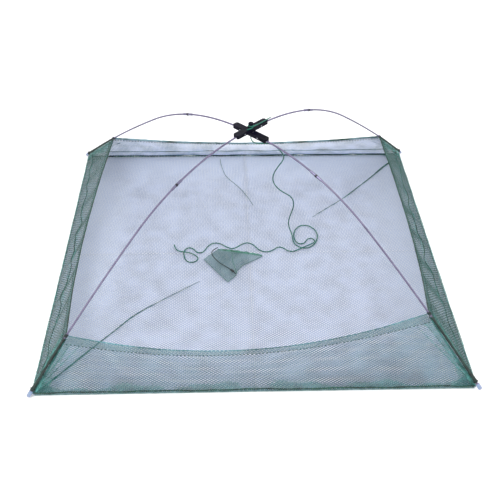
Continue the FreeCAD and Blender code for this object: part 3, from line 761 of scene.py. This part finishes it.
def running_stitch(name, points, normals):
    """Dark thread that goes in and out of the cloth. Points are a millimetre or so apart."""
    vertices, faces = [], []
    arch = THREAD_LIFT * np.sin(math.pi * np.linspace(0, 1, STITCH))[:, None]
    for start in range(STITCH_GAP, len(points) - STITCH, STITCH + STITCH_GAP):
        stop = start + STITCH
        for side in (1, -1):
            line = points[start:stop] + normals[start:stop] * arch * side
            more, more_faces = sweep(line, lambda step, turn: THREAD_RADIUS, 6)
            faces += [tuple(corner + len(vertices) for corner in face) for face in more_faces]
            vertices += more
    return new_piece(name, vertices, faces, "seam")


# ---- floor ----

# The floor net's edge is inside its hem. Its strands have a place every so often, and its
# corners are doubled as far as this along each edge.
FLOOR_EDGE = HALF_BASE - 2 * MM
FLOOR_STEP = 14 * MM
CORNER_PATCH = 45 * MM

# Creases in the floor net, from a corner inward, and how thick they are at the corner.
CREASES = {
    "front_left": ([(-393, -396), (-352, -345), (-302, -280), (-266, -236), (-233, -193),
                    (-170, -143), (-106, -96)], 1.1),
    "back_right": ([(380, 370), (352, 343), (318, 300), (272, 248), (226, 196), (186, 162),
                    (149, 126)], 1.3),
}

# A thread that was sewn into the back of the floor net and has worked loose there.
LOOSE_THREAD = [(-63, 380), (-63, 365), (-57, 331), (-49, 298), (-26, 266), (-7, 232),
                (7, 198), (14, 176)]


def on_floor(route, lift):
    """The smooth line along a route, laid on the floor net."""
    line = smooth_line(route, 2 * MM)
    points, normals = floor_place(line[:, 0], line[:, 1])
    return points + normals * lift


def make_creases(rib):
    """What lies on one quarter of the floor net: a crease, or the loose thread."""
    made = []
    if rib in CREASES:
        route, thick = CREASES[rib]
        made.append(gathered_cord(f"crease_{rib}", on_floor(route, 0.9 * MM),
                                  lambda share: thick * MM * (1 - share) ** 0.8 + 0.3 * MM,
                                  "crease", lobes=2, wander=0.4))
    if rib == "back_left":
        thread = on_floor(LOOSE_THREAD, 0.8 * MM)
        made.append(gathered_cord("floor_thread", thread, 0.5 * MM, "crease", lobes=2, sides=8))
    return made


def make_floor():
    """The floor net in four quarters, one for each corner that they fold towards."""
    for rib in RIBS:
        sign_x, sign_y = (1 if value > 0 else -1 for value in rib_direction(rib)[:2])

        def inside(a, b):
            across = (a * sign_x >= 0) & (a * sign_x <= FLOOR_EDGE)
            return across & (b * sign_y >= 0) & (b * sign_y <= FLOOR_EDGE)

        def in_corner(a, b):
            return inside(a, b) & (a * sign_x + b * sign_y > 2 * FLOOR_EDGE - CORNER_PATCH)

        low, high = zip(*(sorted((0, sign * FLOOR_EDGE)) for sign in (sign_x, sign_y)))
        families = lattice(inside, low, high, FLOOR_CELL, FLOOR_STEP)
        net = net_piece(f"floor_net_{rib}", families, floor_place, FLOOR_TWINE, "floor_net")
        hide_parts("net_floor", *(f"base_hem_{side}" for side in SIDES
                                        if rib in SIDES[side][:2]))
        families = lattice(in_corner, low, high, FLOOR_CELL, FLOOR_STEP, FLOOR_CELL[0] / 2)
        corner = net_piece(f"floor_corner_{rib}", families, floor_place, DOUBLED_TWINE, "gather",
                           lift=0.8 * MM)
        trims = [corner, *make_creases(rib)]
        for piece in (net, *trims):
            fold_to_corner(piece, rib)


# ---- walls ----

# How far each half of a wall reaches past the middle, over the other half.
OVERLAP = 2.4 * MM


class HalfWall:
    """The half of a wall that folds towards one rib, with the parts sewn to it."""

    def __init__(self, side, half):
        self.wall = WALLS[side]
        self.side = side
        self.name = f"{side}_{'end' if half else 'start'}"
        self.rib = self.wall.ribs[half]
        self.sign = 1 if half else -1
        self.foot = self.wall.foot_width / 2
        self.low = (-OVERLAP if half else -self.foot, 0)
        self.high = (self.foot if half else OVERLAP, WALL_REACH)

    def region(self, keep):
        """Where this half has cloth. keep(from the rib, up from the foot, down from the rim)."""
        def inside(a, b):
            share, rise = self.wall.shares(a, b)
            down = self.wall.height(np.clip(share, 0, 1)) - b
            from_rib = self.wall.width(rise) / 2 - np.abs(a)
            held = (a * self.sign >= -OVERLAP) & (from_rib >= CORNER_GAP)
            return held & keep(from_rib, b, down)
        return inside

    def net(self, inside):
        """The wall's own netting."""
        cell, twine_size = NETTING[self.side]
        families = lattice(inside, self.low, self.high, cell)
        return net_piece(f"wall_net_{self.name}", families, self.wall.place, twine_size,
                         NET_KINDS[self.side])

    def doubled(self, name, keep, material):
        """A second layer of netting on the outside, its meshes half a mesh along."""
        cell, twine_size = NETTING[self.side]
        families = lattice(self.region(keep), self.low, self.high, cell, shift=cell[0] / 2)
        return net_piece(f"{name}_{self.name}", families, self.wall.place, DOUBLED_TWINE,
                         material, lift=twine_size[1] / 2 + 0.3 * MM)

    def line(self, below_rim=None, above_foot=None):
        """A line along the wall from its middle to the rib, and the cloth's normals on it."""
        last = 0.5 - CORNER_GAP / self.wall.foot_width
        shares = 0.5 + self.sign * np.linspace(0, last, int(self.foot / MM))
        height = self.wall.height(shares)
        up = height - below_rim if above_foot is None else above_foot + np.zeros_like(height)
        return self.wall.place((shares - 0.5) * self.wall.width(up / height), up)

    def fan(self, share):
        """A pleat that starts at the foot of the rib and fans out up the wall."""
        rise = np.linspace(0.05, 0.86, 40)
        out = CORNER_GAP + (2 + (10 + 60 * share) * rise ** 1.2) * MM
        a = self.sign * (self.wall.width(rise) / 2 - out)
        points, normals = self.wall.place(a, rise * self.height())
        return points + normals * 0.5 * MM

    def height(self):
        """The cloth's height at the rib."""
        return float(self.wall.height(0.5 + 0.5 * self.sign))


# For each wall: the fold at its foot (material, radius and how far out it stands) with the
# edge below it, and the edge of its rim (material and radius).
FOOT_KINDS = {"front": ("seam", 1.0, 0.9, "hem_edge"), "right": ("gather", 0.6, 0.8, "hem_edge"),
              "left": ("gather", 0.6, 0.8, "hem_edge"), "back": ("seam", 1.8, -1.4, "gather")}
RIM_KINDS = {"front": ("wall_net", 0.8), "right": ("seam", 1.2), "left": ("seam", 1.2),
             "back": ("back_rim", 2.0)}


def wandering(a, low, high, seed):
    """A height that wanders along the cloth between two values."""
    wave = np.sin(a * 41 + seed) + 0.6 * np.sin(a * 97 + 2.3 * seed)
    return low + (high - low) * (0.5 + wave / 3.2)


def ragged(a, low, high, seed):
    """The same with the ragged edge that cut netting has: a tooth every 3.6 mm."""
    return wandering(a, low, high, seed) + (high - low) / 6 * np.sin(a * 1733)


def make_foot(half):
    """The gathered hem at the foot of a wall: doubled netting over a fold and a pale edge."""
    seed = half.wall.seed
    low, tall = (6 * MM, 21 * MM) if half.side == "front" else (3 * MM, 8 * MM)

    def doubled(from_rib, up, down):
        return up <= ragged(from_rib, low, tall, seed)

    band = half.doubled("foot_band", doubled, "gather")
    points, normals = half.line(above_foot=1.0 * MM)
    rise = wandering(np.linspace(0, 0.4, len(points)), 0.4 * MM, 3.2 * MM, seed)[:, None]
    material, radius, out, edge_material = FOOT_KINDS[half.side]
    fold_line = points + normals * out * MM + np.array((0, 0, 1)) * rise
    fold = gathered_cord(f"foot_fold_{half.name}", fold_line, radius * MM, material, lobes=3,
                         wander=0.5)
    edge_line = points + normals * 0.6 * MM
    edge_line[:, 2] = 1.0 * MM
    edge = gathered_cord(f"foot_edge_{half.name}", edge_line, 0.9 * MM, edge_material, lobes=3)
    return [band, fold, edge]


def hem_depth(half, a):
    """The rim hem is deeper at the ribs than in the middle of the wall."""
    middle = 4 * MM if half.side == "back" else 8 * MM
    return middle + 8 * MM * np.clip(np.abs(a) / half.foot, 0, 1) ** 2


def make_rim(half):
    """The rim hem: netting folded over at the rim, sewn down with dark thread."""
    def doubled(from_rib, up, down):
        return (down <= hem_depth(half, half.foot - from_rib)) & (down >= 0)

    band = half.doubled("rim_band", doubled, "hem_net")
    points, _ = half.line(below_rim=0.0)
    material, radius = RIM_KINDS[half.side]
    edge = gathered_cord(f"rim_edge_{half.name}", points, radius * MM, material, lobes=3,
                         wander=0.35)
    spots = np.linspace(0, half.foot, int(half.foot / MM))
    points, normals = half.line(below_rim=hem_depth(half, spots))
    return [band, edge, running_stitch(f"rim_thread_{half.name}", points, normals)]


def make_gathers(half):
    """Cloth gathered at the rib: a doubled corner and pleats that fan out of it."""
    deep = (14 if half.side == "front" else 24) * MM

    def doubled(from_rib, up, down):
        return (from_rib <= deep + ragged(up, 0, 12 * MM, half.wall.seed)) & (down >= 4 * MM)

    corner = half.doubled("corner_net", doubled, "gather")
    pleats = [gathered_cord(f"pleat_{half.name}_{number}", half.fan(share),
                            lambda along: (0.9 - 0.6 * along) * MM, "gather", lobes=2, sides=8)
              for number, share in enumerate((0.1, 0.5))]
    return [corner, *pleats]


def make_long_fold(half):
    """A fold that runs the length of a side wall: doubled netting with a dark crease."""
    middle = 0.46 * float(half.wall.height(0.5))

    def doubled(from_rib, up, down):
        return np.abs(up - middle - ragged(from_rib, -6 * MM, 6 * MM, 1.0)) < 7 * MM

    from_rib = np.linspace(half.foot, CORNER_GAP, int(half.foot / MM))
    points, normals = half.line(above_foot=middle + wandering(from_rib, -6 * MM, 6 * MM, 1.0))
    crease = gathered_cord(f"long_crease_{half.name}", points + normals * MM,
                           lambda share: (0.9 - 0.5 * share) * MM, "seam", lobes=2, wander=0.5)
    return [half.doubled("long_fold", doubled, "gather"), crease]


def make_back_fold(half):
    """A faint fold that runs the length of the back wall, on its inside."""
    points, normals = half.line(above_foot=0.5 * float(half.wall.height(0.5)))
    return gathered_cord(f"back_fold_{half.name}", points - normals * 1.2 * MM, 0.8 * MM,
                         "back_rim", lobes=3, wander=0.5)


def make_walls():
    """Each wall net in two halves, one for each rib that they fold towards."""
    for side in WALLS:
        for half in (HalfWall(side, 0), HalfWall(side, 1)):
            inside = half.region(lambda from_rib, up, down: down >= 0)
            net = half.net(inside)
            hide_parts(f"wall_{side}")
            foot, rim, gathers = make_foot(half), make_rim(half), make_gathers(half)
            if side in ("left", "right"):
                gathers += make_long_fold(half)
            if side == "back":
                gathers.append(make_back_fold(half))
            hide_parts(f"rim_hem_{side}")
            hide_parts(f"base_hem_{side}")
            trims = [*foot, *rim, *gathers]
            for piece in (net, *trims):
                fold_to_rib(piece, half.rib)
            half.height()
            cut_area(inside, half.low, half.high, 2 * MM)


# ---- corners ----

# The cord tie at the rim: its radius round the rib, the cord's own radius and its turns.
TIE_RADIUS, TIE_CORD, TIE_TURNS = 2.75 * MM, 0.75 * MM, 4


def make_sleeve(rib):
    """The sleeve sewn round a rib at a corner of the net. It widens towards the cap."""
    sleeve = gathered_cord(f"rib_sleeve_{rib}", rib_line(rib)[3:-3],
                           lambda share: (2.3 + 1.2 * share ** 6) * MM, "sleeve", lobes=6,
                           wander=0.16, sides=20)
    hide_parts(f"corner_sleeve_{rib}")
    return sleeve


def make_corner_seam(rib):
    """The gathered seam of two walls, on the inside of their rib."""
    foot, rim = np.array(base_corner(rib)), np.array(rim_corner(rib))
    inward = -np.array(rib_direction(rib)) * 3.5 * MM
    share = np.linspace(0, 1, 40)[:, None]
    line = foot + (rim - foot) * share + inward - np.array((0, 0, 2.5 * MM)) * share
    seam = gathered_cord(f"corner_seam_{rib}", line[:-2],
                         lambda along: (2.6 - 1.4 * along) * MM, "gather", lobes=5, sides=20)
    return seam


def make_tie(rib):
    """Cord wound round a rib at the rim, with its end left standing."""
    line = rib_line(rib)
    axis = unit(line[1] - line[0])
    side = unit(np.cross(axis, (0, 0, 1)))
    other = np.cross(axis, side)
    angles = np.arange(0, TIE_TURNS * 2 * math.pi, 0.35)[:, None]
    along = (angles / angles[-1] - 0.5) * TIE_TURNS * TIE_CORD * 2.1
    path = line[0] + TIE_RADIUS * (side * np.cos(angles) + other * np.sin(angles)) + axis * along
    steps = np.arange(1, 5)[:, None]
    tail = path[-1] + (path[-1] - path[-2]) * steps * 0.8 + axis * steps * TIE_CORD
    tie = tube(f"rim_cord_{rib}", np.concatenate([path, tail]), lambda step, turn: TIE_CORD, 8,
               "dark_cord")
    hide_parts(f"rim_tie_{rib}")
    return tie


def make_ferrule_band(rib):
    """The dark band round the middle of a rib's ferrule, with rounded ends."""
    low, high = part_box(f"rib_ferrule_{rib}")
    joint, size = np.array((low + high) / 2), high - low
    along = unit(np.array(rib_direction(rib)) * size.xy.length - np.array((0, 0, size.z)))
    line = joint + along * np.linspace(-2.2, 2.2, 9)[:, None] * MM
    band = tube(f"ferrule_band_{rib}", line,
                lambda step, turn: (2.95 if 0 < step < 8 else 2.6) * MM, 24, "knuckle")
    return band


def make_corners():
    """What each rib carries: its sleeve, the walls' seam, the tie at the rim and a band."""
    for rib in RIBS:
        for make in (make_sleeve, make_corner_seam, make_tie, make_ferrule_band):
            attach(make(rib), f"rib_{rib}")


# ---- bait pocket ----

# The pocket's outline, its gathered roll and its seam, in millimetres from the trap's middle.
POCKET_OUTLINE = [
    (-99, -25), (-48, -100), (-31, -80), (-28, -65), (-17, -48), (28, -16), (-69, 8),
]
POCKET_ROLL = [(-69, 7), (-30, -2), (0, -9), (27, -15.5)]
POCKET_SEAM = [(-38, -10), (-38, -34), (-34, -57), (-29, -73)]
POCKET_CELL, POCKET_TWINE = (5.2 * MM, 4.4 * MM), (0.76 * MM, 0.98 * MM)

# The heights of the pocket's hem and under layer, and how far its top layer swells.
POCKET_FOOT = 3.2 * MM
POCKET_UNDER = 2.8 * MM
POCKET_SWELL = 4.6 * MM


def pocket_runs():
    """The start and end of each straight run of the pocket's outline."""
    corners = np.array(POCKET_OUTLINE) * MM
    return zip(corners, np.roll(corners, -1, axis=0))


def in_pocket(a, b):
    crossed = np.zeros(np.shape(a), bool)
    for (x, y), (next_x, next_y) in pocket_runs():
        spans = (y > b) != (next_y > b)
        crossed ^= spans & (a < x + (b - y) * (next_x - x) / (next_y - y))
    return crossed


def pocket_depth(a, b):
    """How far a place in the pocket is from its outline."""
    away = []
    for (x, y), end in pocket_runs():
        run_x, run_y = end - (x, y)
        share = np.clip(((a - x) * run_x + (b - y) * run_y) / (run_x ** 2 + run_y ** 2), 0, 1)
        away.append(np.hypot(a - x - run_x * share, b - y - run_y * share))
    return np.min(away, axis=0)


def pocket_height(a, b):
    """The top layer: it swells a little in from its hem, with soft rumples."""
    depth = np.clip(pocket_depth(a, b) / (14 * MM), 0, 1)
    rumple = np.sin(a * 140 + 1.5 * np.sin(b * 90)) * np.sin(b * 120 + 0.8)
    swell = POCKET_SWELL * np.sin(depth * math.pi / 2)
    return POCKET_FOOT + 0.6 * MM + swell + 0.7 * MM * depth * rumple


def pocket_place(top):
    """A function that lays flat cloth on the top or the bottom layer of the pocket."""
    def place(a, b):
        return level(a, b, pocket_height(a, b) if top else np.full_like(a, POCKET_UNDER))
    return place


def straight_line(corners, height):
    """Straight runs from corner to corner, at a height."""
    return evenly([(x * MM, y * MM, height) for x, y in corners], MM)


def make_pocket():
    """Two layers of fine netting, a hem round them, a gathered roll and an inner seam."""
    corners = np.array(POCKET_OUTLINE) * MM
    low, high = corners.min(axis=0), corners.max(axis=0)
    families = lattice(in_pocket, low, high, POCKET_CELL, 4 * MM)
    sheets = []
    for layer in ("top", "bottom"):
        sheet = net_piece(f"pocket_net_{layer}", families, pocket_place(layer == "top"),
                          POCKET_TWINE, "pocket_net")
        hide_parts("bait_pocket")
        sheets.append(sheet)
    hem_line = straight_line([*POCKET_OUTLINE, POCKET_OUTLINE[0]], POCKET_FOOT)
    roll_line = straight_line(POCKET_ROLL, POCKET_FOOT + 1.0 * MM)
    seam_line = smooth_line(POCKET_SEAM, 1.5 * MM)
    seam_line[:, 2] = pocket_height(seam_line[:, 0], seam_line[:, 1]) + 0.6 * MM
    trims = [
        gathered_cord("pocket_hem", hem_line, 0.8 * MM, "pocket_hem", lobes=3, wander=0.3),
        gathered_cord("pocket_roll", roll_line,
                      lambda share: (1.2 + 2.2 * math.sin(math.pi * share) ** 0.6) * MM,
                      "pocket_roll", lobes=6, wander=0.45, sides=20),
        gathered_cord("pocket_seam", seam_line, 0.6 * MM, "pocket_roll", lobes=3),
    ]
    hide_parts("bait_pocket")
    for piece in (*sheets, *trims, *drawcord_pieces):
        fold_to_corner(piece, "front_left")
    cut = cut_area(in_pocket, low, high, MM)


make_floor()
make_walls()
make_corners()
make_pocket()


# ---- the carried-over parts ----

NODE_MATERIALS = {
    "hub_lower_bar": "hub", "hub_upper_bar": "hub", "hub_knob": "hub", "pivot_bolt": "steel",
    "hub_washer": "steel", "rib_pin": "steel", "rib_root": "knuckle", "rib_inner": "rod",
    "rib_outer": "rod", "rib_ferrule": "ferrule", "rib_cap": "cap", "corner_loop": "dark_cord",
}

# How wide the softened edges of the moulded parts are, in millimetres.
BEVELS = {"hub_lower_bar": 0.5, "hub_upper_bar": 0.5, "hub_knob": 0.4, "rib_cap": 0.3}


def finish_parts():
    """A material for each CAD part that shows, and softened edges on the moulded ones."""
    for name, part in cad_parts.items():
        for start, material in NODE_MATERIALS.items():
            if name.startswith(start):
                paint(part, material)
        for start, width in BEVELS.items():
            if name.startswith(start):
                bevel = part.modifiers.new("soft_edges", "BEVEL")
                bevel.width = width * MM
                bevel.segments = 3
                bevel.limit_method = "ANGLE"
                bevel.angle_limit = math.radians(40)


finish_parts()


# ---- stage and light ----

GROUND = -0.6 * MM

# Each lamp: its name, place, size in metres and power in watts.
LAMPS = [("key", (-1.2, -1.6, 2.6), 1.6, 60), ("fill", (1.8, 0.6, 2.2), 2.0, 30)]
LIT_PLACE = Vector((0, 0, 0.1))


def make_stage():
    """A pale floor, just under the trap."""
    bpy.ops.mesh.primitive_plane_add(size=14, location=(0, 2, GROUND))
    floor = bpy.context.object
    floor.name = "studio_floor"
    nodes = Nodes("studio_floor")
    shade = nodes.ramp(nodes.noise(2.0, 2.0), (0.3, (0.86, 0.865, 0.875)),
                       (0.7, (0.88, 0.88, 0.885)))
    nodes.join(shade, nodes.shader.inputs["Base Color"])
    nodes.set(Roughness=0.9, Specular_IOR_Level=0.1)
    floor.data.materials.append(nodes.material)


def make_light():
    """A white sky and two large soft lamps."""
    world = bpy.data.worlds.new("studio")
    bpy.context.scene.world = world
    world.use_nodes = True
    background = world.node_tree.nodes["Background"]
    background.inputs["Color"].default_value = (1, 1, 1, 1)
    background.inputs["Strength"].default_value = 1.15
    for name, place, size, power in LAMPS:
        light = bpy.data.lights.new(name, "AREA")
        light.size = size
        light.energy = power
        lamp = bpy.data.objects.new(name, light)
        lamp.location = place
        lamp.rotation_euler = (LIT_PLACE - lamp.location).to_track_quat("-Z", "Y").to_euler()
        bpy.context.scene.collection.objects.link(lamp)
    bpy.context.scene.view_settings.view_transform = "Standard"


make_stage()
make_light()
